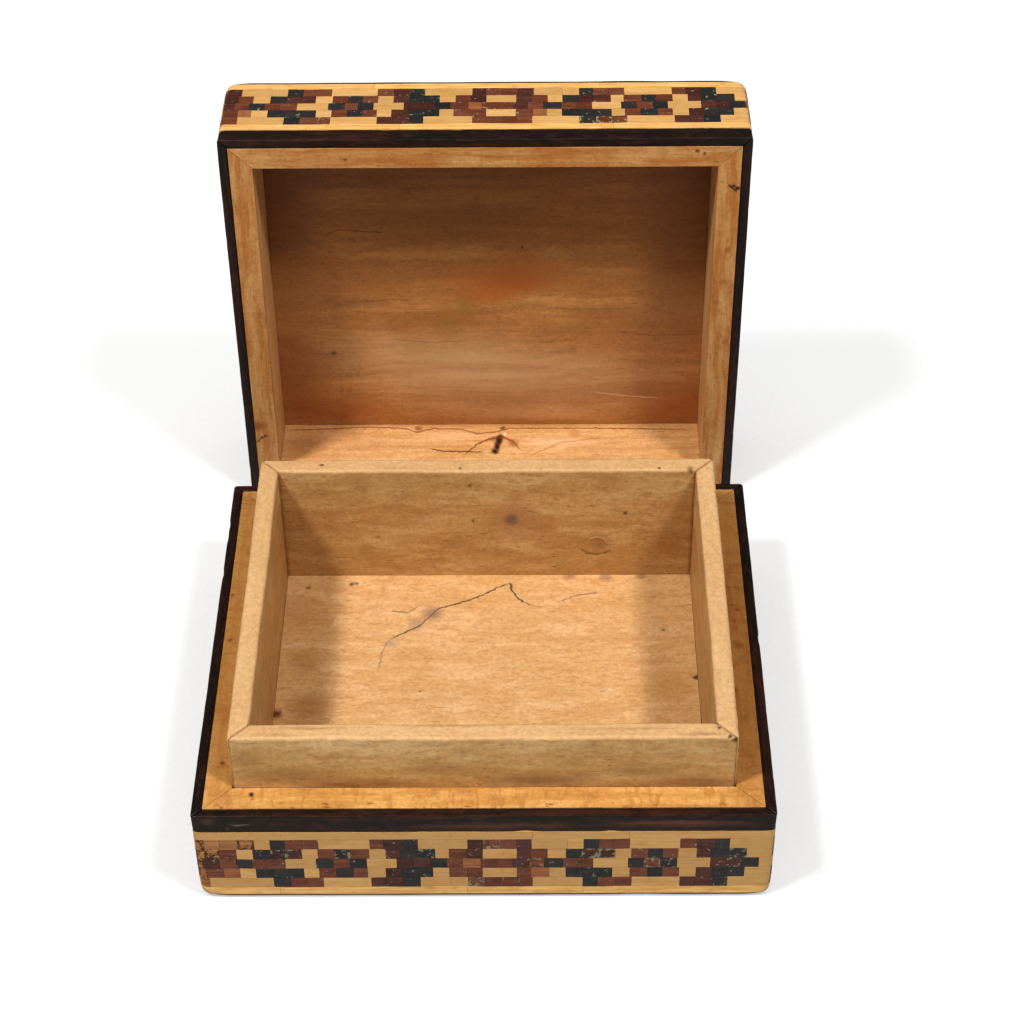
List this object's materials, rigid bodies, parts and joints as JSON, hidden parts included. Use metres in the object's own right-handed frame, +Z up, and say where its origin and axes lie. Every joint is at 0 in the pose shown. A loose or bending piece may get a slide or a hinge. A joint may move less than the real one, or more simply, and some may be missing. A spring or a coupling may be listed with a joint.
{
  "type": "lidded keepsake box",
  "caption": "Small rectangular wooden box with mosaic sides, dark stringing and a raised liner; its loose lid stands behind the base, tips over and drops down over the liner.",
  "frame": {"origin": "centre of the base's underside, on the table", "axes": "+Z up out of the well, +X along the wide sides, -Y towards the front; the lid stands behind, towards +Y"},
  "size_m": [0.102, 0.1325, 0.0884],
  "materials": {
    "pine": "aged, open grained",
    "stick_mosaic": "satin varnish over pale, red, brown and black tesserae",
    "ebony": "satin",
    "boxwood": "satin varnish",
    "sycamore": "planed, waxed",
    "quartered_sycamore": "planed, with ray fleck",
    "walnut": "oiled",
    "iron": "dull"
  },
  "bodies": {
    "base": {"base_foot_veneer": "ebony", "base_bottom_board": "pine", "base_wall_front": "pine", "base_wall_back": "pine", "base_wall_left": "pine", "base_wall_right": "pine", "base_mosaic_front": "stick_mosaic", "base_mosaic_back": "stick_mosaic", "base_mosaic_left": "stick_mosaic", "base_mosaic_right": "stick_mosaic", "base_stringing_front": "ebony", "base_stringing_back": "ebony", "base_stringing_left": "ebony", "base_stringing_right": "ebony", "base_rim_front": "boxwood", "base_rim_back": "boxwood", "base_rim_left": "boxwood", "base_rim_right": "boxwood", "liner_front": "sycamore", "liner_back": "sycamore", "liner_left": "sycamore", "liner_right": "sycamore", "liner_floor": "quartered_sycamore", "liner_brad_front_left": "iron", "liner_brad_front_right": "iron"},
    "lid_carrier": {"liner_brad_back_left": "iron", "liner_brad_back_right": "iron"},
    "lid": {"lid_wall_front": "pine", "lid_wall_back": "pine", "lid_wall_left": "pine", "lid_wall_right": "pine", "lid_top_board": "walnut", "lid_mosaic_front": "stick_mosaic", "lid_mosaic_back": "stick_mosaic", "lid_mosaic_left": "stick_mosaic", "lid_mosaic_right": "stick_mosaic", "lid_stringing_front": "ebony", "lid_stringing_back": "ebony", "lid_stringing_left": "ebony", "lid_stringing_right": "ebony", "lid_rim_front": "boxwood", "lid_rim_back": "boxwood", "lid_rim_left": "boxwood", "lid_rim_right": "boxwood", "crown_line_front": "ebony", "crown_line_back": "ebony", "crown_line_left": "ebony", "crown_line_right": "ebony", "crown_border_front": "stick_mosaic", "crown_border_back": "stick_mosaic", "crown_border_left": "stick_mosaic", "crown_border_right": "stick_mosaic", "crown_field": "walnut"}
  },
  "joints": [
    {"name": "lid_tip", "type": "hinge", "parent": "base", "child": "lid_carrier", "pos_m": [0, 0.03555, 0.00865], "axis": [1, 0, 0], "range_deg": [0, 90]},
    {"name": "lid_seat", "type": "slide", "parent": "lid_carrier", "child": "lid", "axis": [0, -1, 0], "range_m": [0, 0.018]}
  ]
}
